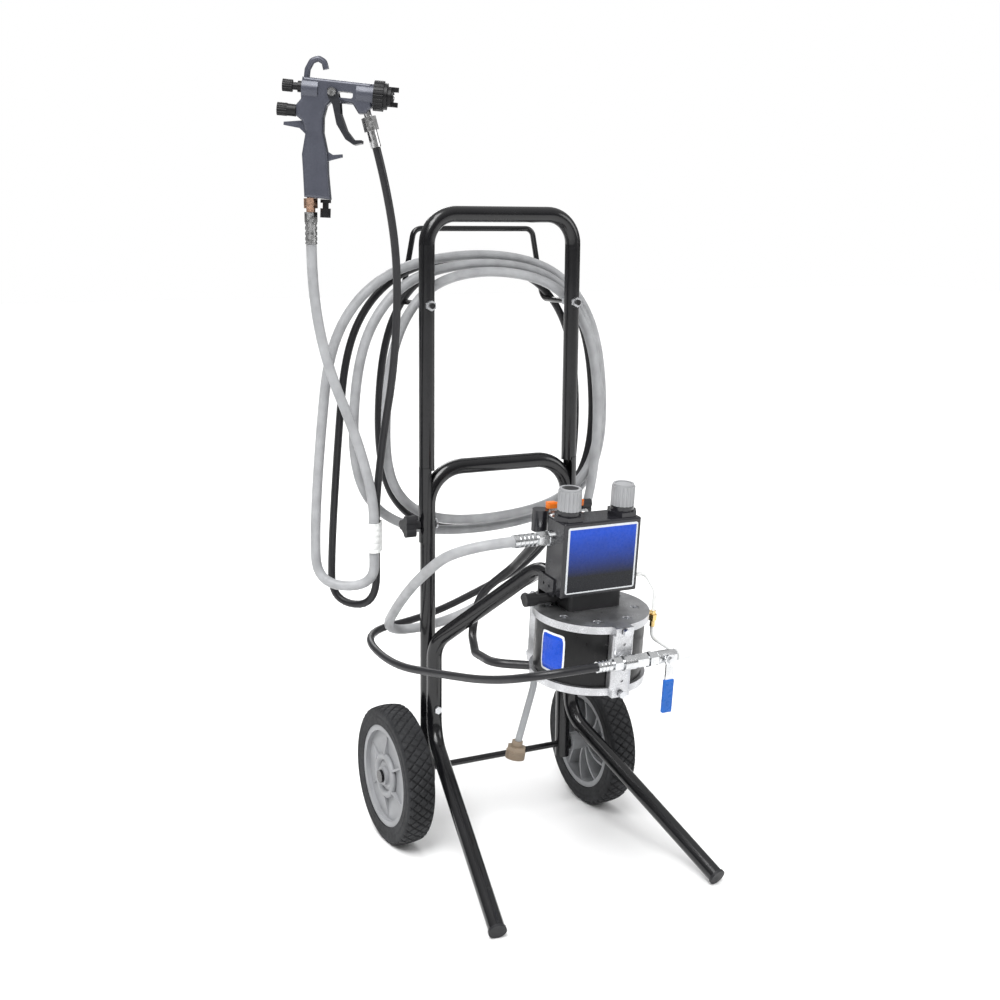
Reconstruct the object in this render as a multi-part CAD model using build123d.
from build123d import *

import os
from math import atan2, cos, degrees, radians, sin, sqrt, tan

# A paint sprayer on a two-wheeled hand cart: an air-driven 1:1 diaphragm pump with its air controls on
# top, a frame of bent tube, and an air-spray gun on an air hose and a fluid hose.
# Millimetres. +Z is up, -Y is the pump side, and the axle lies along X.
# The origin is on the floor, under the middle of the axle.

# Cart frame
tube_od = 22.2
tube_wall = 1.6
lower_half = 114.5          # middle of the cart to each lower frame tube
arch_height = 550.0         # centre of the lower frame's cross tube
arch_bend = 53.0
lower_end = 82.0            # bottom of the lower frame tubes
handle_height = 904.0       # centre of the handle's cross tube
handle_bend = 42.0
nest_bottom = 444.0         # the handle's legs end in channels that nest round the lower tubes
nest_top = 548.0
nest_wall = 1.7
nest_clearance = 0.2
nest_step = 0.4             # the channel's outer face stands this far proud of the handle's tube
nest_overlap = 4.0          # length of channel that runs on outside the tube
clamp_height = 470.0
clamp_bolt_d = 6.0
clamp_bolt_length = 43.0
clamp_head_d = 14.0
knob_d = 34.0
knob_stem_d = 13.0
knob_stem = 9.0
knob_thick = 15.0
hole_clearance = 0.3
running_clearance = 0.06
body_gap = 0.35             # between faces of pieces that turn past each other

# Hose rack
rack_rod_d = 8.0
rack_height = 780.0
rack_depth = 87.0
rack_top = 883.0
rack_top_half = 96.0
rack_bend = 13.0
rack_nut_af = 13.0
rack_nut_thick = 6.0

# Legs
leg_gap = 0.2               # between a leg tube and the lower tube that it is bolted to
leg_bend_height = 157.0
leg_top_height = 300.0
leg_bend = 48.0
foot_half = 170.2
foot_reach = 331.0
plug_flange_d = 24.4
plug_flange = 4.0
plug_depth = 16.0
tongue_half = 30.0          # the legs' upper ends run forward beside each other to the pump
tongue_start = (-175.0, 437.0)
leg_bolt_d = 6.0
leg_bolt_height = 202.0
bolt_head_af = 10.0
bolt_head_thick = 4.0

# Wheels
wheel_od = 203.2
wheel_width = 41.5
wheel_outer = 187.7         # middle of the cart to a wheel's outer face
rim_od = 149.0
rim_wall = 8.0
rim_width = 37.0
web_thick = 5.0
web_inset = 9.0
hub_boss_d = 27.0
rib_count = 10
rib_thick = 3.0
rib_width = 22.0
axle_d = 9.5
axle_cap_d = 19.0
axle_cap_thick = 4.0
washer_thick = 1.5
washer_d = 20.0

# Pump, drawn upright about its own axis and then leant forward as it hangs
pump_y = -263.0
pump_top = 401.5
pump_lean = 5.0
cover_d = 154.0
cover_thick = 10.0
drum_d = 144.0
drum_wall = 6.0
drum_height = 74.0
cover_recess_d = 118.0
cover_recess = 5.0
cover_screw_d = 12.0
cover_screw_pcd = 116.0
cover_screw_count = 8
cover_screw_sunk = 1.0
manifold_width = 30.0
manifold_depth = 13.0
manifold_gap = 0.5
inlet_angle = 120.0
lug_bolt_af = 9.0
centre_block_height = 26.0
shaft_d = 12.0
plate_d = 44.0
plate_thick = 5.0
diaphragm_d = 132.0
diaphragm_thick = 2.5
ball_d = 12.0
shaft_travel = 3.0

# Outlet fittings, on a line across the front of the pump
outlet_level = -41.5        # below the top cover's top face
outlet_reach = -98.0
fitting_r = 8.0
valve_left = 32.0
valve_right = 72.0
stem_u = 55.0
lever_length = 76.0
lever_width = 12.0
lever_thick = 2.5
grip_length = 46.0
grip_width = 15.0
grip_thick = 6.0

# Air control box, on the pump's top cover
box_width = 115.0
box_front = -17.0
box_back = 28.0
box_bottom = 22.0
box_top = 122.0
box_wall = 2.5
panel_width = 104.0
panel_height = 89.0
panel_thick = 1.2
knob_spacing = 80.0
regulator_v = 5.0
collar_af = 37.0
collar_step = 6.0
regulator_d = 31.0
regulator_height = 29.0
regulator_post_d = 9.0
regulator_body_d = 27.0
inlet_v = 50.0
inlet_w = 111.0
inlet_u = -20.0
exhaust_v = 17.0
exhaust_w = 12.8
butterfly_half = 28.0

# Gun, drawn with its barrel along +X and its trigger pivot at its own origin
gun_place = Location((-250.0, 0.0, 1058.0)) * Rotation(0, 0, -27.7) * Rotation(0, 5.0, 0)
gun_thick = 22.0
barrel_r = 14.5
barrel_z = 1.5
ring_d = 39.0
cap_d = 31.0
air_inlet_top = (-19.5, -137.3)
air_inlet_end = (-14.3, -196.7)
fluid_inlet_top = (45.5, -19.0)
fluid_inlet_end = (61.5, -64.0)
inlet_stub_r = 5.0
trigger_thick = 4.0
trigger_gap = 0.5
pivot_r = 3.0

# Hoses
air_hose_d = 14.0
fluid_hose_d = 11.0
pump_hose_d = 12.0
drain_tube_d = 5.0
coil_front = 19.0           # front face of the air hose's coil, and the two coils' thickness
coil_thick = 30.0
coil_gap = 1.0
coil_notch_x = 20.0         # the hoses from the pump enter the coils through a notch at the lower left
coil_notch_z = 372.0
wrap_bottom = 438.0
wrap_length = 42.0

# Derived
tube_r = tube_od / 2
tube_bore_r = tube_r - tube_wall
nest_inner_r = tube_r + nest_clearance
nest_outer_r = nest_inner_r + nest_wall
handle_half = lower_half + nest_outer_r - tube_r - nest_step
leg_y = -(tube_od + leg_gap)
wheel_r = wheel_od / 2
axle_r = axle_d / 2
pump_place = Location((0, pump_y, pump_top), (pump_lean, 0, 0))
drum_bottom = -(cover_thick + drum_height)
pump_base = drum_bottom - cover_thick
manifold_r = drum_d / 2 + manifold_gap
collar_top = box_top + 2 * collar_step


def rod(start, end, radius):
    """A round bar between two points."""
    line = Line(start, end)
    return sweep(Plane(line @ 0, z_dir=line % 0) * Circle(radius), path=line)


def hexagon(start, end, across_flats):
    """A six-sided bar between two points."""
    line = Line(start, end)
    return sweep(Plane(line @ 0, z_dir=line % 0) * RegularPolygon(across_flats / sqrt(3), 6), path=line)


def bent(points, radii, radius):
    """A round bar along straight runs joined by arcs."""
    path = FilletPolyline(*points, radius=radii)
    return sweep(Plane(path @ 0, z_dir=path % 0) * Circle(radius), path=path)


def bent_tube(points, radii):
    """The cart's tube along straight runs joined by arcs."""
    return bent(points, radii, tube_r) - bent(points, radii, tube_bore_r)


def hose_radii(points):
    """One radius for each corner of a hose's route: as large as the runs beside it allow."""
    radii = []
    for before, here, after in zip(points, points[1:], points[2:]):
        run_in = Vector(*here) - Vector(*before)
        run_out = Vector(*after) - Vector(*here)
        half_turn = radians(run_in.get_angle(run_out)) / 2
        radii.append(0.45 * min(run_in.length, run_out.length) / tan(half_turn))
    return radii


def hose(name, points, diameter):
    """A plain round hose. The tightest bend and the length are printed as a check."""
    radii = hose_radii(points)
    path = FilletPolyline(*points, radius=radii)
    print(f"{name}: length {path.length:.0f}, tightest {min(radii):.0f}, radii {[round(r) for r in radii]}")
    return sweep(Plane(path @ 0, z_dir=path % 0) * Circle(diameter / 2), path=path)


def local(shape):
    """A pump piece, moved from the pump's own axes to its place on the cart."""
    return pump_place * shape


def save(name, shapes):
    """One STEP file for a named piece, or for a group of like pieces."""
    group = shapes if isinstance(shapes, list) else [shapes]
    solids = [solid for shape in group for solid in shape.solids()]
    export_step(Compound(label=name, children=solids) if len(solids) > 1 else solids[0],
                f"parts/{name}.step")


# ---------------------------------------------------------------- cart


def make_lower_frame():
    x = lower_half
    points = [(-x, 0, lower_end), (-x, 0, arch_height), (x, 0, arch_height), (x, 0, lower_end)]
    frame = bent_tube(points, [arch_bend, arch_bend])
    for side in (-1, 1):
        frame -= rod((side * (x - 20), 0, wheel_r), (side * (x + 20), 0, wheel_r), axle_r)
        frame -= rod(
            (side * (x - 20), 0, clamp_height), (side * (x + 20), 0, clamp_height),
            (clamp_bolt_d + hole_clearance) / 2
        )
        frame -= rod((side * x, -20, leg_bolt_height), (side * x, 20, leg_bolt_height),
                     (leg_bolt_d + hole_clearance) / 2)
    return frame


def make_handle():
    """The upper tube, whose legs end in half-round channels outside the lower tubes."""
    x = handle_half
    points = [(-x, 0, nest_top), (-x, 0, handle_height), (x, 0, handle_height), (x, 0, nest_top)]
    handle = bent_tube(points, [handle_bend, handle_bend])
    length = nest_top - nest_bottom + nest_overlap
    for side in (-1, 1):
        ring = Circle(nest_outer_r) - Circle(nest_inner_r)
        outboard = Pos(side * nest_outer_r, 0) * Rectangle(2 * nest_outer_r, 4 * nest_outer_r)
        channel = extrude(ring & outboard, length)
        handle += Pos(side * lower_half, 0, nest_bottom) * channel
        handle -= rod(
            (side * lower_half, 0, clamp_height),
            (side * (lower_half + 30), 0, clamp_height),
            (clamp_bolt_d + hole_clearance) / 2,
        )
        handle -= rod((side * x, -20, rack_height), (side * x, 20, rack_height),
                      (rack_rod_d + hole_clearance) / 2)
    return handle


def make_hose_rack():
    front = -(tube_r + rack_nut_thick + 3)
    x, top = handle_half, rack_top_half
    points = [(-x, front, rack_height), (-x, rack_depth, rack_height), (-top, rack_depth, rack_top)]
    points += [(top, rack_depth, rack_top), (x, rack_depth, rack_height), (x, front, rack_height)]
    return bent(points, [rack_bend] * 4, rack_rod_d / 2)


def make_rack_nuts():
    """A nut each side of each handle tube, on the ends of the rack's rod."""
    nuts = []
    for side in (-1, 1):
        for near, far in ((-tube_r - rack_nut_thick, -tube_r), (tube_r, tube_r + rack_nut_thick)):
            nut = hexagon((side * handle_half, near, rack_height), (side * handle_half, far, rack_height),
                          rack_nut_af)
            hole = rod((side * handle_half, near, rack_height), (side * handle_half, far, rack_height),
                       rack_rod_d / 2)
            nuts.append(nut - hole)
    return nuts


def leg_points(side):
    """The corners of one leg, from its foot up to the tongue that carries the pump."""
    bend = Vector(side * lower_half, leg_y, leg_bend_height)
    foot = Vector(side * foot_half, -foot_reach, 0)
    lift = 0.0
    for _ in range(30):
        run = (Vector(foot.X, foot.Y, lift) - bend).normalized()
        lift = plug_flange_d / 2 * sqrt(1 - run.Z**2) + plug_flange * abs(run.Z)
    tongue_y, tongue_z = tongue_start
    end = pump_place * Location((0, box_back + 5, 0))
    tongue_end_y = end.position.Y
    tongue_end_z = tongue_z - (tongue_y - tongue_end_y) * tan(radians(pump_lean))
    return [
        (foot.X, foot.Y, lift),
        tuple(bend),
        (side * lower_half, leg_y, leg_top_height),
        (side * tongue_half, tongue_y, tongue_z),
        (side * tongue_half, tongue_end_y, tongue_end_z),
    ]


def make_leg(side):
    leg = bent_tube(leg_points(side), [leg_bend, leg_bend, leg_bend * 0.9])
    hole = (leg_bolt_d + hole_clearance) / 2
    leg -= rod((side * lower_half, leg_y - 20, leg_bolt_height),
               (side * lower_half, leg_y + 20, leg_bolt_height), hole)
    return leg


def make_foot_plugs():
    plugs = []
    for side in (-1, 1):
        foot, bend = (Vector(*p) for p in leg_points(side)[:2])
        out = (foot - bend).normalized()
        flange = rod(foot, foot + out * plug_flange, plug_flange_d / 2)
        plugs.append(flange + rod(foot - out * plug_depth, foot, tube_bore_r - 0.05))
    return plugs


def make_leg_bolts():
    """A bolt and nut through each leg tube and the lower tube behind it."""
    bolts = []
    for side in (-1, 1):
        x, z = side * lower_half, leg_bolt_height
        front = leg_y - tube_r
        head = hexagon((x, front - bolt_head_thick, z), (x, front, z), bolt_head_af)
        shank = rod((x, front, z), (x, tube_r + bolt_head_thick + 2, z), leg_bolt_d / 2)
        nut = hexagon((x, tube_r, z), (x, tube_r + bolt_head_thick, z), bolt_head_af)
        bolts += [head + shank, nut - shank]
    return bolts


def make_clamp_bolts():
    """Carriage bolts, with their round heads inboard."""
    bolts = []
    for side in (-1, 1):
        inner = lower_half - tube_r
        head = rod((side * (inner - 3), 0, clamp_height), (side * inner, 0, clamp_height), clamp_head_d / 2)
        end = inner + clamp_bolt_length
        bolts.append(head + rod((side * inner, 0, clamp_height), (side * end, 0, clamp_height),
                                clamp_bolt_d / 2))
    return bolts


def make_clamp_knob(side):
    """A three-lobed knob, whose threaded stem runs on a clamp bolt."""
    face = lower_half + nest_outer_r + body_gap
    lobes = Circle(knob_d * 0.3)
    for k in range(3):
        lobes += Rotation(0, 0, 90 + 120 * k) * Pos(knob_d * 0.3, 0) * Circle(knob_d * 0.2)
    body = Pos(side * (face + knob_stem), 0, clamp_height) * Rotation(0, side * 90, 0) * extrude(lobes, knob_thick)
    stem = rod((side * face, 0, clamp_height), (side * (face + knob_stem), 0, clamp_height),
               knob_stem_d / 2)
    bore_end = lower_half - tube_r + clamp_bolt_length + 1
    bore = rod((side * face, 0, clamp_height), (side * bore_end, 0, clamp_height),
               clamp_bolt_d / 2 + running_clearance)
    return body + stem - bore


def make_axle():
    end = wheel_outer + axle_cap_thick
    return rod((-end, 0, wheel_r), (end, 0, wheel_r), axle_r)


def make_axle_trim():
    """A push-on cap outside each wheel and a washer inside it."""
    pieces = []
    for side in (-1, 1):
        outer = wheel_outer + body_gap
        cap = rod((side * outer, 0, wheel_r), (side * (outer + axle_cap_thick), 0, wheel_r), axle_cap_d / 2)
        inner = lower_half + tube_r
        washer = rod((side * inner, 0, wheel_r), (side * (inner + washer_thick), 0, wheel_r), washer_d / 2)
        pieces += [cap - make_axle(), washer - make_axle()]
    return pieces


def make_tyre(side):
    """A solid rubber tyre with rounded shoulders."""
    half, rim, out = wheel_width / 2, rim_od / 2, wheel_r
    with BuildPart() as tyre:
        with BuildSketch(Plane.XZ):
            with Locations((0, (rim + out) / 2)):
                RectangleRounded(2 * half, out - rim, 8)
        revolve(axis=Axis.X)
    return Pos(side * (wheel_outer - half), 0,
               wheel_r) * (tyre.part - Rotation(0, 90, 0) * Cylinder(rim, 80))


def make_hub(side):
    """A plastic wheel centre: a rim, a dished web, a long boss and curved ribs on the inboard side."""
    axis = Rotation(0, side * 90, 0)
    web_out = wheel_width / 2 - web_inset
    rim = Cylinder(rim_od / 2, rim_width) - Cylinder(rim_od / 2 - rim_wall, rim_width)
    web = Pos(0, 0, web_out - web_thick / 2) * Cylinder(rim_od / 2 - rim_wall / 2, web_thick)
    boss_in = lower_half + tube_r + washer_thick + body_gap
    middle = wheel_outer - wheel_width / 2
    boss_low, boss_high = boss_in - middle, wheel_width / 2
    boss = Pos(0, 0, (boss_low + boss_high) / 2) * Cylinder(hub_boss_d / 2, boss_high - boss_low)
    dish = Pos(0, 0, web_out + 2) * Cone(hub_boss_d / 2 + 14, hub_boss_d / 2 + 5, 4)
    reach = (rim_od / 2 - rim_wall / 2) - hub_boss_d / 2
    arc = ThreePointArc((0, 0), (reach / 2, reach * 0.14), (reach, 0))
    ribs = []
    for k in range(rib_count):
        strip = extrude(trace(arc, rib_thick), rib_width)
        start = Pos(hub_boss_d / 2 - 1.5, 0, web_out - web_thick - rib_width + 0.5)
        ribs.append(Rotation(0, 0, 360 / rib_count * k) * start * strip)
    hub = rim + web + boss + dish + ribs
    hub = hub & Cylinder(rim_od / 2, 200)
    hub -= Cylinder(axle_r + running_clearance, 300)
    return Pos(side * middle, 0, wheel_r) * axis * hub


# ---------------------------------------------------------------- pump


def disc(diameter, low, high):
    """A round plate about the pump's axis, between two levels."""
    return Pos(0, 0, (low + high) / 2) * Cylinder(diameter / 2, high - low)


def spread(shape, radius, count, first=0.0):
    """Copies of a shape round the pump's axis."""
    step = 360 / count
    return [Rotation(0, 0, first + step * k) * Pos(radius, 0, 0) * shape for k in range(count)]


def make_covers():
    """The top and bottom covers, with a lug each for the two manifolds, and screw holes."""
    covers = []
    for low, high, inside in ((-cover_thick, 0, -1), (pump_base, drum_bottom, 1)):
        cover = disc(cover_d, low, high)
        for angle in (-90, inlet_angle):
            lug = Pos(manifold_r + manifold_depth / 2 - 5, 0, (low + high) / 2) * Box(
                manifold_depth + 10, manifold_width - 4, cover_thick
            )
            cover += Rotation(0, 0, angle) * lug
        face = low if inside < 0 else high
        cover -= disc(cover_recess_d - 20, face - cover_recess, face + cover_recess)
        hole = Cylinder(cover_screw_d / 2, 4 * drum_height)
        for copy in spread(hole, cover_screw_pcd / 2, cover_screw_count, 22.5):
            cover -= copy
        covers.append(cover)
    return [local(c) for c in covers]


def make_cover_screws():
    """Sunk socket screws through both covers."""
    screws = []
    for low, high, up in ((-cover_thick, 0, 1), (pump_base, drum_bottom, -1)):
        thick = cover_thick - cover_screw_sunk
        centre = (low + high) / 2 - up * cover_screw_sunk / 2
        screw = Pos(0, 0, centre) * Cylinder(cover_screw_d / 2 - 0.02, thick)
        outer_face = centre + up * thick / 2
        screw -= Pos(0, 0, outer_face) * Cylinder(3, 5)
        screws += spread(screw, cover_screw_pcd / 2, cover_screw_count, 22.5)
    for angle in (-90, inlet_angle):
        for level in (-cover_thick / 2, pump_base + cover_thick / 2):
            outer = manifold_r + manifold_depth + 1.5
            head = hexagon((outer, 0, level), (outer + 5, 0, level), lug_bolt_af)
            screws.append(Rotation(0, 0, angle) * head)
    return [local(s) for s in screws]


def make_drum():
    """The centre housing: the drum's wall, and a block across it with a bore for the shaft."""
    drum = disc(drum_d, drum_bottom, -cover_thick)
    half = centre_block_height / 2
    middle = (drum_bottom - cover_thick) / 2
    bore_d = drum_d - 2 * drum_wall
    drum -= disc(bore_d, middle + half, -cover_thick)
    drum -= disc(bore_d, drum_bottom, middle - half)
    drum -= disc(shaft_d + 2 * running_clearance, drum_bottom, -cover_thick)
    return local(drum)


def make_manifold(angle):
    """An upright fluid passage between the covers' lugs, with a cross port half way."""
    height = drum_height
    middle = (drum_bottom - cover_thick) / 2
    body = Pos(manifold_r + manifold_depth / 2, 0, middle) * Box(manifold_depth, manifold_width, height)
    body = fillet(body.edges().filter_by(Axis.Z).group_by(Axis.X)[-1], 5)
    if angle == -90:
        port_r = fitting_r + 4
        port = rod(
            (manifold_r + manifold_depth - 1, 0, outlet_level),
            (-outlet_reach - fitting_r - 2, 0, outlet_level), port_r
        )
        body += port
    passage = Pos(manifold_r + manifold_depth / 2 + 0.5, 0, middle) * Cylinder(ball_d / 2 - 1.5, height - 12)
    body -= passage
    for end in (-1, 1):
        seat = Pos(manifold_r + manifold_depth / 2 + 0.5, 0, middle + end * (height / 2 - 12))
        body -= seat * Sphere(ball_d / 2 + 0.3)
    return local(Rotation(0, 0, angle) * body)


def make_check_balls():
    height = drum_height
    middle = (drum_bottom - cover_thick) / 2
    balls = []
    for angle in (-90, inlet_angle):
        for end in (-1, 1):
            ball = Pos(manifold_r + manifold_depth / 2 + 0.5, 0, middle + end * (height / 2 - 12))
            balls.append(local(Rotation(0, 0, angle) * ball * Sphere(ball_d / 2 - 0.6)))
    return balls


def diaphragm_levels():
    middle = (drum_bottom - cover_thick) / 2
    offset = centre_block_height / 2 + plate_thick + shaft_travel + 2
    return middle, offset


def make_shaft():
    """The diaphragm shaft with a clamping plate each side of each diaphragm."""
    middle, offset = diaphragm_levels()
    half = offset + diaphragm_thick + plate_thick
    shaft = disc(shaft_d, middle - half, middle + half)
    for way in (-1, 1):
        near = middle + way * offset
        far = near + way * diaphragm_thick
        inner = disc(plate_d, min(near, near - way * plate_thick), max(near, near - way * plate_thick))
        outer = disc(plate_d, min(far, far + way * plate_thick), max(far, far + way * plate_thick))
        shaft += [inner, outer]
    return local(shaft)


def make_diaphragms():
    middle, offset = diaphragm_levels()
    pair = []
    for way in (-1, 1):
        near = middle + way * offset
        far = near + way * diaphragm_thick
        pair.append(local(disc(diaphragm_d, min(near, far), max(near, far)) - disc(shaft_d + 0.2, near - 9, near + 9)))
    return pair


def make_exhaust_elbow():
    """The exhaust's plastic elbow, on the valve block's stub."""
    body = rod((-75, exhaust_v, exhaust_w), (-91, exhaust_v, exhaust_w), 8.5)
    body += rod((-84, exhaust_v, exhaust_w), (-84, exhaust_v + 13, exhaust_w), 6)
    return local(body - rod((-75, exhaust_v, exhaust_w), (-80, exhaust_v, exhaust_w), 6.5))


def make_air_valve():
    """The valve block between the pump and the control box, with the exhaust's stub."""
    block = Pos(0, (box_front + box_back) / 2 + 2, box_bottom / 2) * Box(78, 38, box_bottom)
    block = fillet(block.edges().filter_by(Axis.Z), 6)
    return local(block + rod((-38, exhaust_v, exhaust_w), (-80, exhaust_v, exhaust_w), 6.5))


def make_suction_tube():
    radius = manifold_r + manifold_depth / 2
    u, v = radius * cos(radians(inlet_angle)), radius * sin(radians(inlet_angle))
    return bent([pump_point(u, v, pump_base), pump_point(u, v, pump_base - 40), (-62, -178, 188)], [60],
                4.8)


def make_strainer():
    start, end = Vector(-62, -178, 188), Vector(-65.5, -177, 165)
    along = (end - start).normalized()
    body = rod(start - along * 8, start, 7.5)
    body += hexagon(start, start + along * 6, 24)
    body += rod(start + along * 6, start + along * 17, 13.5)
    for k in range(4):
        ring = rod(start + along * (7.5 + 2.5 * k), start + along * (8.5 + 2.5 * k), 14)
        body -= ring - rod(start, end, 12.5)
    return body - make_suction_tube()


# ---------------------------------------------------------------- outlet fittings


def across(u0, u1, radius):
    """A round bar along the outlet fittings' line."""
    return rod((u0, outlet_reach, outlet_level), (u1, outlet_reach, outlet_level), radius)


def across_hex(u0, u1, af):
    return hexagon((u0, outlet_reach, outlet_level), (u1, outlet_reach, outlet_level), af)


def make_outlet_tee():
    """The tee on the outlet manifold and the hexagon coupling to the ball valve."""
    tee = across(-9, 9, fitting_r + 1.5)
    tee += rod((0, outlet_reach, outlet_level), (0, outlet_reach + fitting_r + 2, outlet_level), fitting_r)
    tee += across_hex(9, 26, 17)
    tee += across(26, 28, 6)
    tee += across_hex(28, valve_left, 19)
    return local(tee)


def make_fluid_hose_fitting():
    """The swivel nut and the crimped ferrule on the fluid hose's pump end."""
    body = across(-12, -9, 6) + across_hex(-24, -12, 16) + across(-27, -24, 5)
    body += across(-47, -27, fluid_hose_d / 2 + 1.6)
    for k in range(3):
        groove = across(-33 - 5 * k, -31.5 - 5 * k, 20) - across(-50, -20, fluid_hose_d / 2 + 0.9)
        body -= groove
    return local(body)


def make_valve_body():
    body = across_hex(valve_left, valve_left + 9, 17) + across(valve_left + 9, valve_right - 12, 9)
    body += across_hex(valve_right - 12, valve_right - 3, 16) + across(valve_right - 3, valve_right, 6)
    body += rod((stem_u, outlet_reach, outlet_level), (stem_u, outlet_reach - 11, outlet_level), 6)
    body -= across(valve_left, valve_right, 4)
    body -= Pos(stem_u, outlet_reach, outlet_level) * Sphere(6.6)
    stem_r = 3 + running_clearance
    body -= rod((stem_u, outlet_reach, outlet_level), (stem_u, outlet_reach - 20, outlet_level), stem_r)
    return local(body)


def make_valve_lever():
    """The ball, its stem and nut, and the cranked plate lever, which turn as one."""
    origin = (stem_u, outlet_reach, outlet_level)
    ball = Pos(*origin) * Sphere(6.5)
    ball += rod(origin, (stem_u, outlet_reach - 17, outlet_level), 3)
    ball += hexagon((stem_u, outlet_reach - 17, outlet_level),
                    (stem_u, outlet_reach - 13.8, outlet_level), 8)
    front = outlet_reach - 11 - body_gap - lever_thick
    plate = Pos(stem_u, front + lever_thick / 2, outlet_level - lever_length / 2 + 6)
    lever = plate * Box(lever_width, lever_thick, lever_length)
    lever += rod((stem_u, front, outlet_level), (stem_u, front + lever_thick, outlet_level), 8)
    return local(ball + lever)


def make_lever_grip():
    front = outlet_reach - 11 - body_gap - lever_thick / 2
    end = outlet_level - lever_length + 6
    grip = Pos(stem_u, front, end + grip_length / 2 - 2) * Box(grip_width, grip_thick, grip_length)
    grip = fillet(grip.edges(), 2)
    slot = Pos(stem_u, front, end + lever_length / 2) * Box(lever_width, lever_thick, lever_length)
    return local(grip - slot)


def make_drain_elbow():
    body = across(valve_right, valve_right + 19, 7.5)
    u = brass_spot()[0]
    body += rod((u, outlet_reach, outlet_level), (u, outlet_reach + 16, outlet_level), 4)
    return local(body)


def brass_spot():
    return 76.5, -33.0


def make_brass_fitting():
    """A small upright fitting beside the top cover's rim."""
    u, v = brass_spot()
    body = rod((u, v, -4), (u, v, -26), 3.6) + hexagon((u, v, -9), (u, v, -17), 10)
    reach = cover_d / 2 / sqrt(u * u + v * v)
    body += rod((u, v, -6.5), (u * reach, v * reach, -6.5), 3)
    return local(body)


def make_drain_tubes():
    """Two thin clear tubes: control box to brass fitting, and brass fitting to the drain elbow."""
    u, v = brass_spot()
    first = [(box_width / 2, -9, 40), (box_width / 2 + 18, -9, 40), (u, v, 24), (u, v, -4)]
    second = [(u, v, -26), (u, v, outlet_level), (u, outlet_reach + 16, outlet_level)]
    tubes = [bent(first, [8, 8], drain_tube_d / 2), bent(second, [10], drain_tube_d / 2)]
    return [local(t) for t in tubes]


# ---------------------------------------------------------------- control box


def make_box_shell():
    width, depth, height = box_width, box_back - box_front, box_top - box_bottom
    centre = Pos(0, (box_front + box_back) / 2, (box_bottom + box_top) / 2)
    outer = Box(width, depth, height)
    outer = fillet(outer.edges(), 2.4)
    shell = outer - Box(width - 2 * box_wall, depth - 2 * box_wall, height - 2 * box_wall)
    shell = centre * shell
    for side in (-1, 1):
        shell -= Pos(side * knob_spacing / 2, regulator_v,
                     box_top) * Cylinder(regulator_body_d / 2 + 0.15, 12)
    return local(shell)


def make_front_panel():
    panel = Plane.XZ * RectangleRounded(panel_width, panel_height, 3)
    centre = Pos(0, box_front, (box_bottom + box_top) / 2)
    return local(centre * extrude(panel, panel_thick))


def make_bracket():
    """The sheet bracket that joins the pump and the control box to the ends of the legs' tubes."""
    plate_v = box_back + 8
    cross = Pos(0, plate_v + 1.5, 23) * Box(box_width + 4.6, 3, 40)
    foot = Pos(0, plate_v - 3.2, 1.5) * Box(76, 12.2, 3)
    bracket = cross + foot
    riser = Pos(0, plate_v + 1.5, 3) * Box(76, 3, 6)
    bracket += riser
    for side in (-1, 1):
        flange = Pos(side * (box_width / 2 + 1.15), plate_v - 17.5, 31.5) * Box(2.3, 38, 23)
        bracket += flange
        for v in (plate_v - 12, plate_v - 26):
            bracket -= Pos(side * (box_width / 2 + 1.15), v, 31.5) * Rotation(0, 90, 0) * Cylinder(2, 10)
    bracket = local(bracket)
    for side in (-1, 1):
        points = leg_points(side)
        bracket -= rod(points[3], points[4], tube_r)
    return bracket


def make_regulators():
    """Each regulator's body inside the box, its collar on top, and the post that the knob turns on."""
    regulators = []
    for side in (-1, 1):
        body = Pos(0, 0, box_top - 24) * Cylinder(regulator_body_d / 2, 48)
        collar = Pos(0, 0, box_top) * extrude(RegularPolygon(collar_af / sqrt(3), 6), collar_step)
        collar += Pos(0, 0, box_top + 1.5 * collar_step) * Cylinder(collar_af / 2 - 3, collar_step)
        post = Pos(0, 0, collar_top + 8) * Cylinder(regulator_post_d / 2, 16)
        regulators.append(local(Pos(side * knob_spacing / 2, regulator_v, 0) * (body + collar + post)))
    return regulators


def make_regulator_knob(side):
    """A fluted knob with a shallow recess in its top."""
    low = collar_top + body_gap
    knob = Circle(regulator_d / 2)
    for k in range(18):
        knob -= Rotation(0, 0, 20 * k) * Pos(regulator_d / 2 + 0.6, 0) * Circle(1.6)
    body = Pos(0, 0, low) * extrude(knob, regulator_height - 3)
    body += Pos(0, 0, low + regulator_height - 1.5) * Cylinder(regulator_d / 2 - 1.6, 3)
    body -= Pos(0, 0, low + regulator_height) * Cylinder(regulator_d / 2 - 4.5, 3)
    body -= Pos(0, 0, low + 8.5) * Cylinder(regulator_post_d / 2 + running_clearance, 17.5)
    return local(Pos(side * knob_spacing / 2, regulator_v, 0) * body)


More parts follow.
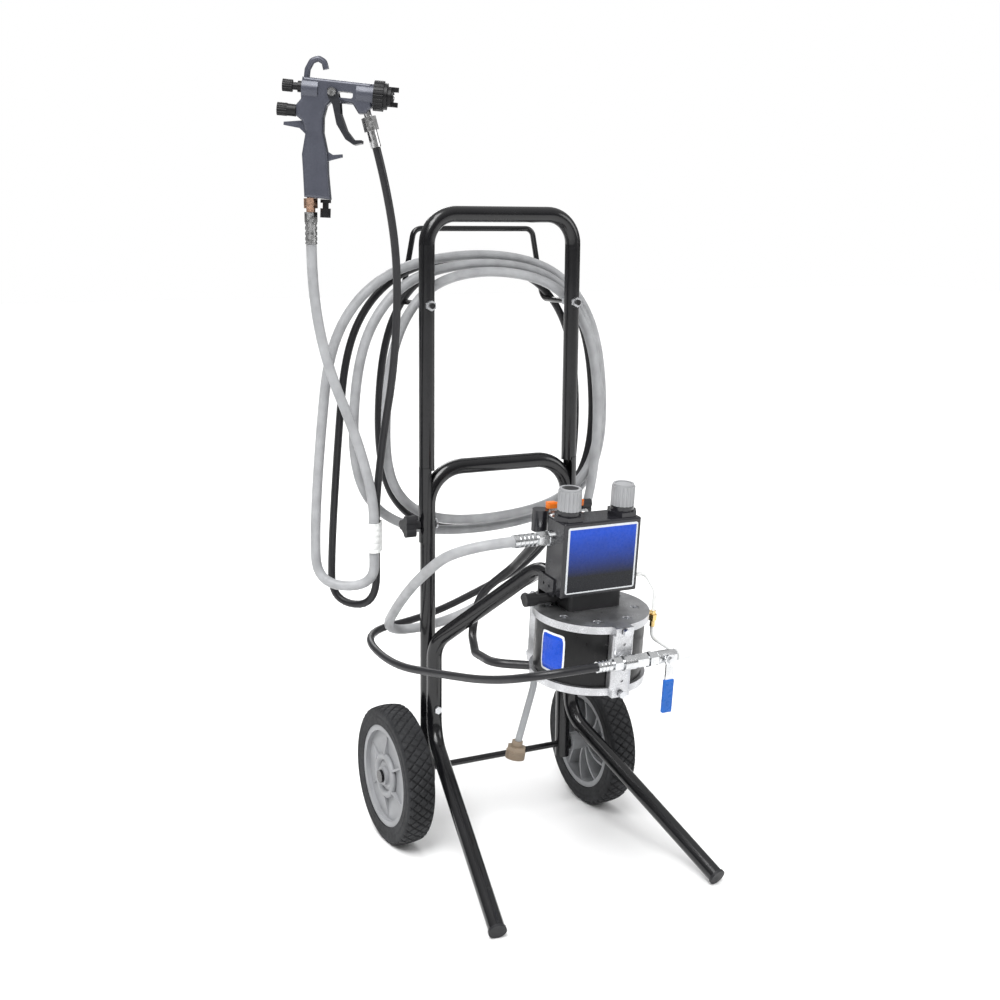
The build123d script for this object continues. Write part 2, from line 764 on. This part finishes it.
def make_inlet_valve():
    """The air inlet behind the box: swivel inlet, ball valve body and nipple into the box."""

    def line(a, b, r):
        return rod((a, inlet_v, inlet_w), (b, inlet_v, inlet_w), r)

    body = line(inlet_u - 22, inlet_u + 16, 9) + line(inlet_u + 16, inlet_u + 34, 7)
    body += rod((inlet_u + 28, inlet_v, inlet_w), (inlet_u + 28, box_back, inlet_w), 6)
    body += rod((inlet_u, inlet_v, inlet_w), (inlet_u, inlet_v, inlet_w + 13), 6.5)
    post = rod((inlet_u - 36, inlet_v, inlet_w - 16), (inlet_u - 36, inlet_v, inlet_w + 13), 11)
    body += post + line(inlet_u - 36, inlet_u - 22, 7)
    body -= rod((inlet_u - 36, inlet_v, inlet_w - 16), (inlet_u - 36, inlet_v, inlet_w - 5), 5.9)
    body -= line(inlet_u - 30, inlet_u + 20, 3.5)
    body -= Pos(inlet_u, inlet_v, inlet_w) * Sphere(7.1)
    body -= rod((inlet_u, inlet_v, inlet_w), (inlet_u, inlet_v, inlet_w + 30), 3 + running_clearance)
    return local(body)


def make_inlet_handle():
    """The ball and stem of the inlet valve with the butterfly handle."""
    low = inlet_w + 13 + body_gap
    ball = Pos(inlet_u, inlet_v, inlet_w) * Sphere(7) + rod((inlet_u, inlet_v, inlet_w),
                                                            (inlet_u, inlet_v, low + 3), 3)
    wings = SlotOverall(2 * butterfly_half, 9) + Circle(9)
    ball += Pos(inlet_u, inlet_v, low) * extrude(wings, 6)
    for side in (-1, 1):
        ball += Pos(inlet_u + side * (butterfly_half - 7), inlet_v, low + 4) * Box(12, 7, 8)
    return local(ball)


def make_air_outlet():
    """The air hose's fitting on the box's left side: port ring, swivel nut and crimped ferrule."""
    v, w = 19.0, 94.0
    half = box_width / 2

    def bar(a, b, r):
        return rod((-a, v, w), (-b, v, w), r)

    body = bar(half, half + 4, 10) + hexagon((-(half + 4), v, w), (-(half + 20), v, w), 17)
    body += bar(half + 20, half + 24, 6.5) + bar(half + 24, half + 54, air_hose_d / 2 + 1.8)
    for k in range(4):
        body -= bar(half + 28 + 6 * k, half + 30 + 6 * k, 20) - bar(half + 20, half + 60, air_hose_d / 2 + 0.9)
    return local(body)


# ---------------------------------------------------------------- gun


def across_gun(outline, thick):
    """A flat outline in the gun's own plane, thickened both ways."""
    return extrude(Plane.XZ * outline, thick / 2, both=True)


def gun_bar(x0, x1, z, radius):
    """A round bar along the gun's barrel."""
    return rod((x0, 0, z), (x1, 0, z), radius)


def make_gun_body():
    """Barrel, hook, handle and finger rests in one casting, with the bores for the needle and valves."""
    grip = Polyline(
        (-40, 16), (50, 15), (52, -14), (45, -23), (36, -24), (27, -12), (2, -9), (-6, -18), (-9, -33),
        (-8, -52),
        (-1, -76), (0, -84), (2, -104), (7.5, -136.5), (-27, -136.5), (-31, -104), (-34, -82), (-31, -52),
        (-36, -40),
        (-45, -34), (-46, -20), (-40, -12), close=True,
    )
    body = across_gun(make_face(grip), gun_thick)
    body = fillet(body.edges().filter_by(GeomType.LINE).group_by(Axis.Y)[0], 3.5)
    body = fillet(body.edges().filter_by(GeomType.LINE).group_by(Axis.Y)[-1], 3.5)
    body += gun_bar(-40, 53, barrel_z, barrel_r)
    front_spur = Polyline((-4, -74), (6, -79), (18, -77), (18.5, -81), (4, -86), (-4, -90), close=True)
    rear_spur = Polyline((-30, -38), (-61, -43), (-61, -47), (-40, -49), (-29, -58), close=True)
    for spur in (front_spur, rear_spur):
        body += across_gun(make_face(spur), 9)
    hook = FilletPolyline((-35.5, 0, 8), (-35, 0, 26), (-30, 0, 37), (-22, 0, 41), (-14, 0, 37),
                          (-11, 0, 28), radius=6)
    body += sweep(Plane(hook @ 0, z_dir=hook % 0) * Circle(4), path=hook)
    body -= across_gun(Pos(17, -2) * RectangleRounded(20, 8, 3), 60)
    body -= gun_bar(-60, 8, 3.5, 3 + running_clearance)
    body -= gun_bar(-60, 60, 3.5, 1.6)
    for side in (-1, 1):
        body -= Pos(6, side * (gun_thick / 2 + 10), -4) * Box(50, 20, 30)
    body -= rod((0, -40, 0), (0, 40, 0), pivot_r)
    body -= inlet_stub(air_inlet_top, air_inlet_end, -8, 2) + inlet_stub(fluid_inlet_top, fluid_inlet_end, 0, 12)
    return gun_place * body


def inlet_stub(top, end, first, last):
    """The plain round stub of a gun fitting, between two distances along its line."""
    start = Vector(top[0], 0, top[1])
    along = (Vector(end[0], 0, end[1]) - start).normalized()
    return rod(start + along * first, start + along * last, inlet_stub_r)


def make_trigger():
    """Two side plates joined by the finger bar, on the pivot screw."""
    outside = gun_thick / 2 + trigger_gap
    outline = Polyline(
        (-6, 4), (6, 4), (11, -12), (13, -26), (22, -46), (33, -58), (43, -57), (43, -61), (33, -64),
        (22, -58),
        (9, -40), (2, -16), (-5, -6), close=True,
    )
    plate = extrude(Plane.XZ * make_face(outline), trigger_thick)
    near = Pos(0, -outside, 0) * plate
    far = Pos(0, outside + trigger_thick, 0) * plate
    finger = Polyline((9, -30), (13, -26), (22, -46), (33, -58), (43, -57), (43, -61), (33, -64),
                      (22, -58), (9, -40),
                      close=True)
    bar = across_gun(make_face(finger), 2 * outside + 2 * trigger_thick)
    trigger = near + far + bar
    trigger -= rod((0, -40, 0), (0, 40, 0), pivot_r + running_clearance)
    return gun_place * trigger


def make_trigger_screws():
    """A pivot screw each side, clear of the needle between them."""
    outer = gun_thick / 2 + trigger_gap + trigger_thick + body_gap
    screws = []
    for side in (-1, 1):
        shank = rod((0, side * 6, 0), (0, side * outer, 0), pivot_r)
        screws.append(gun_place * (shank + rod((0, side * outer, 0), (0, side * (outer + 2), 0), 5.5)))
    return screws


def make_gun_needle():
    return gun_place * (gun_bar(-39, 68, 3.5, 1.5) + gun_bar(-39, 2, 3.5, 3))


def fluted_knob(radius, length, notches):
    """A knob with grip notches, along +X from its own origin."""
    face = Circle(radius)
    for k in range(notches):
        face -= Rotation(0, 0, 360 / notches * k) * Pos(radius + 0.4, 0) * Circle(1.2)
    return Rotation(0, 90, 0) * extrude(face, length)


def make_fluid_knob():
    """The needle's travel knob, at the rear of the barrel."""
    knob = Pos(-66, 0, 3.5) * fluted_knob(8, 13, 16) + gun_bar(-53, -46, 3.5, 5) + gun_bar(-46, -40.3, 3.5, 7.5)
    return gun_place * (knob - gun_bar(-47, -40, 3.5, 3.3))


def make_fan_knob():
    knob = Pos(-71, 0, -27) * fluted_knob(8.5, 13, 16) + gun_bar(-58, -46.4, -27, 8)
    return gun_place * knob


def make_air_cap():
    """The air cap with its two horns, seen through the ring."""
    cap = gun_bar(66, 76, barrel_z, cap_d / 2 - 3) + gun_bar(70, 79, barrel_z, 9)
    for side in (-1, 1):
        horn = Pos(78.5, 0, barrel_z + side * 9.5) * Box(13, 8, 6)
        cap += horn
    cap -= gun_bar(60, 90, barrel_z, 4.2)
    return gun_place * cap


def make_cap_ring():
    ring = Pos(53.4, 0, barrel_z) * fluted_knob(ring_d / 2, 13, 24) + gun_bar(66.4, 71, barrel_z, ring_d / 2 - 2.5)
    ring -= gun_bar(50, 66, barrel_z, cap_d / 2)
    ring -= gun_bar(50, 80, barrel_z, cap_d / 2 - 3 + running_clearance + 0.3)
    return gun_place * ring


def make_fluid_nozzle():
    nozzle = gun_bar(53, 65.5, barrel_z, 10) + gun_bar(65.5, 80, barrel_z, 3.9)
    return gun_place * (nozzle - gun_bar(50, 90, 3.5, 1.6))


def make_fluid_inlet():
    """The swivel nut and ferrule that carry the fluid hose under the barrel."""
    top, end = Vector(fluid_inlet_top[0], 0, fluid_inlet_top[1]), Vector(fluid_inlet_end[0], 0, fluid_inlet_end[1])
    along = (end - top).normalized()
    body = inlet_stub(fluid_inlet_top, fluid_inlet_end, 0, 12)
    body += hexagon(top + along * 8, top + along * 26, 17)
    body += rod(top + along * 26, end, fluid_hose_d / 2 + 1.3)
    return gun_place * body


def make_air_inlet():
    """The swivel nuts and ringed ferrule under the handle."""
    top, end = Vector(air_inlet_top[0], 0, air_inlet_top[1]), Vector(air_inlet_end[0], 0, air_inlet_end[1])
    along = (end - top).normalized()
    body = inlet_stub(air_inlet_top, air_inlet_end, -8, 0)
    body += hexagon(top, top + along * 13, 16) + rod(top + along * 13, top + along * 18, 6)
    body += hexagon(top + along * 18, top + along * 31, 15) + rod(top + along * 31, end, air_hose_d / 2 + 1)
    for k in range(4):
        ring = rod(top + along * (34 + 7 * k), top + along * (36.5 + 7 * k), 12)
        body -= ring - rod(top, end, air_hose_d / 2 + 0.2)
    return gun_place * body


def make_air_knob():
    """The air valve's knob, beside the air inlet."""
    top = Vector(0.5, 0, -136.5)
    along = Vector(0.05, 0, -0.999)
    body = rod(top + along * 0.4, top + along * 5, 7) + rod(top + along * 5, top + along * 12, 4)
    body += hexagon(top + along * 12, top + along * 24, 12)
    return gun_place * body


# ---------------------------------------------------------------- hoses


def gun_point(x, z):
    """A point on the gun's middle plane, in the cart's axes."""
    spot = (gun_place * Location((x, 0, z))).position
    return spot.X, spot.Y, spot.Z


def below_fitting(top, end, distance):
    """A point on a gun fitting's line, a distance past its lower end, in the cart's axes."""
    line = Vector(end[0] - top[0], 0, end[1] - top[1]).normalized() * distance
    return gun_point(end[0] + line.X, end[1] + line.Z)


def pump_point(u, v, w):
    """A point given in the pump's axes, in the cart's axes."""
    spot = (pump_place * Location((u, v, w))).position
    return spot.X, spot.Y, spot.Z


def air_gun_route():
    """From the ferrule under the gun's handle, down and round into the coil."""
    points = [below_fitting(air_inlet_top, air_inlet_end, 0),
              below_fitting(air_inlet_top, air_inlet_end, 64)]
    points += [(-262, 4, 700), (-224, -4, 605), (-199, -4, 515), (-199, -4, 388), (-268, 41, 388)]
    return points + [(-268, 41, 470)]


def fluid_gun_route():
    """From the ferrule under the gun's barrel, down beside the air hose and round into the coil."""
    points = [below_fitting(fluid_inlet_top, fluid_inlet_end, 0),
              below_fitting(fluid_inlet_top, fluid_inlet_end, 58)]
    points += [(-168, -22, 830), (-168, -8, 700), (-180, 6, 600), (-190, 9.5, 510), (-190, 9.5, 354)]
    return points + [(-236, 70, 354), (-236, 70, 429)]


def air_box_route():
    """From the box's left side, down, round the frame's left tubes and into the coil's lower edge."""
    points = [pump_point(-box_width / 2 - 54, 19, 94), pump_point(-190, 19, 94), (-190, -150, 440)]
    return points + [(-184, -60, 380), (-172, 34, 306), (-68, 40, 308), (coil_notch_x + 4, 36, 350)]


def fluid_pump_route():
    points = [pump_point(-47, outlet_reach, outlet_level), pump_point(-120, outlet_reach, outlet_level)]
    points += [(-150, -270, 322), (-165, -150, 298), (-196, -50, 286), (-196, 58, 304), (-84, 66, 312)]
    return points + [(coil_notch_x + 4, 66, 350)]


def pump_air_route():
    """From the bottom cover's rim, behind the left leg tube and up to the back of the control box."""
    rim, clear = cover_d / 2, cover_d / 2 + 48
    points = [pump_point(-radius * cos(radians(30)), radius / 2, pump_base + 5) for radius in (rim, clear)]
    points += [(-100, -125, 312), (-74, -62, 318), (-48, -30, 365), (-18, -80, 415)]
    return points + [pump_point(-22, box_back + 70, 72), pump_point(-22, box_back, 72)]


def make_pump_hose():
    """The air hose between the pump's lower chamber and the control box."""
    points = pump_air_route()
    return bent(points, [min(40, r) for r in hose_radii(points)], pump_hose_d / 2)


def ring_outline(points, radius):
    """A closed outline with rounded corners in the plane of the coil."""
    return make_face(FilletPolyline(*points, radius=radius, close=True))


def make_coil(front):
    """The outer shape of one hose's loose turns, hanging on the rack's arms."""
    outer = [(-280, 490), (-240, 700), (-130, 852), (60, 868), (185, 800), (225, 640), (188, 470),
             (60, 342)]
    outer += [(-120, 335), (-228, 412)]
    inner = [(-140, 560), (-140, 690), (-118, 795), (50, 815), (124, 786), (150, 650), (118, 530),
             (20, 425)]
    inner += [(-90, 425)]
    face = ring_outline(outer, 45) - ring_outline(inner, 24)
    face -= Pos(coil_notch_x - 200, coil_notch_z - 100) * Rectangle(400, 200)
    return Pos(0, front + coil_thick, 0) * extrude(Plane.XZ * face, coil_thick)


def make_hose_wrap():
    """The sleeve that holds the gun's two hoses together."""
    air, fluid = Vector(-199, -4), Vector(-190, 9.5)
    middle = (air + fluid) * 0.5
    angle = degrees(atan2(fluid.Y - air.Y, fluid.X - air.X))
    gap = (fluid - air).length
    inner = air_hose_d / 2 + 0.7
    sleeve = SlotCenterToCenter(gap, 2 * inner + 2.4) - SlotCenterToCenter(gap, 2 * inner)
    return Pos(middle.X, middle.Y, wrap_bottom) * Rotation(0, 0, angle) * extrude(sleeve, wrap_length)


def make_hoses():
    """Each free hose's two free stretches, and the coil between them."""
    fluid_front = coil_front + coil_thick + coil_gap
    return {
        "air_hose_gun_end": hose("air hose, gun end", air_gun_route(), air_hose_d),
        "air_hose_box_end": hose("air hose, box end", air_box_route(), air_hose_d),
        "air_hose_coil": make_coil(coil_front),
        "fluid_hose_gun_end": hose("fluid hose, gun end", fluid_gun_route(), fluid_hose_d),
        "fluid_hose_pump_end": hose("fluid hose, pump end", fluid_pump_route(), fluid_hose_d),
        "fluid_hose_coil": make_coil(fluid_front),
        "hose_wrap": make_hose_wrap(),
    }


def make_cart():
    return {
        "lower_frame": make_lower_frame(),
        "handle": make_handle(),
        "hose_rack": make_hose_rack(),
        "leg_left": make_leg(-1),
        "leg_right": make_leg(1),
        "foot_plugs": make_foot_plugs(),
        "frame_fasteners": make_rack_nuts() + make_leg_bolts() + make_clamp_bolts() + make_axle_trim(),
        "clamp_knob_left": make_clamp_knob(-1),
        "clamp_knob_right": make_clamp_knob(1),
        "axle": make_axle(),
        "tyre_left": make_tyre(-1),
        "tyre_right": make_tyre(1),
        "hub_left": make_hub(-1),
        "hub_right": make_hub(1),
    }


def make_pump():
    return {
        "pump_covers": make_covers(),
        "cover_screws": make_cover_screws(),
        "pump_drum": make_drum(),
        "outlet_manifold": make_manifold(-90),
        "inlet_manifold": make_manifold(inlet_angle),
        "check_balls": make_check_balls(),
        "diaphragm_shaft": make_shaft(),
        "diaphragms": make_diaphragms(),
        "air_valve": make_air_valve(),
        "exhaust_elbow": make_exhaust_elbow(),
        "suction_tube": make_suction_tube(),
        "strainer": make_strainer(),
        "outlet_fittings": [make_outlet_tee(), make_fluid_hose_fitting()],
        "ball_valve_body": make_valve_body(),
        "ball_valve_lever": make_valve_lever(),
        "lever_grip": make_lever_grip(),
        "drain_line": [make_drain_elbow()] + make_drain_tubes(),
        "brass_fitting": make_brass_fitting(),
        "pump_air_hose": make_pump_hose(),
    }


def make_controls():
    return {
        "box_shell": make_box_shell(),
        "front_panel": make_front_panel(),
        "mounting_bracket": make_bracket(),
        "regulators": make_regulators(),
        "regulator_knob_left": make_regulator_knob(-1),
        "regulator_knob_right": make_regulator_knob(1),
        "inlet_valve_body": make_inlet_valve(),
        "inlet_valve_handle": make_inlet_handle(),
        "air_outlet_fitting": make_air_outlet(),
    }


def make_gun():
    return {
        "gun_body": make_gun_body(),
        "gun_trigger": make_trigger(),
        "trigger_screws": make_trigger_screws(),
        "gun_needle": make_gun_needle(),
        "fluid_knob": make_fluid_knob(),
        "fan_knob": make_fan_knob(),
        "air_cap": make_air_cap(),
        "air_cap_ring": make_cap_ring(),
        "fluid_nozzle": make_fluid_nozzle(),
        "gun_inlets": [make_fluid_inlet(), make_air_inlet()],
        "gun_air_knob": make_air_knob(),
    }


def main():
    os.makedirs("parts", exist_ok=True)
    for group in (make_cart(), make_pump(), make_controls(), make_gun(), make_hoses()):
        for name, shapes in group.items():
            save(name, shapes)


if __name__ == "__main__":
    main()
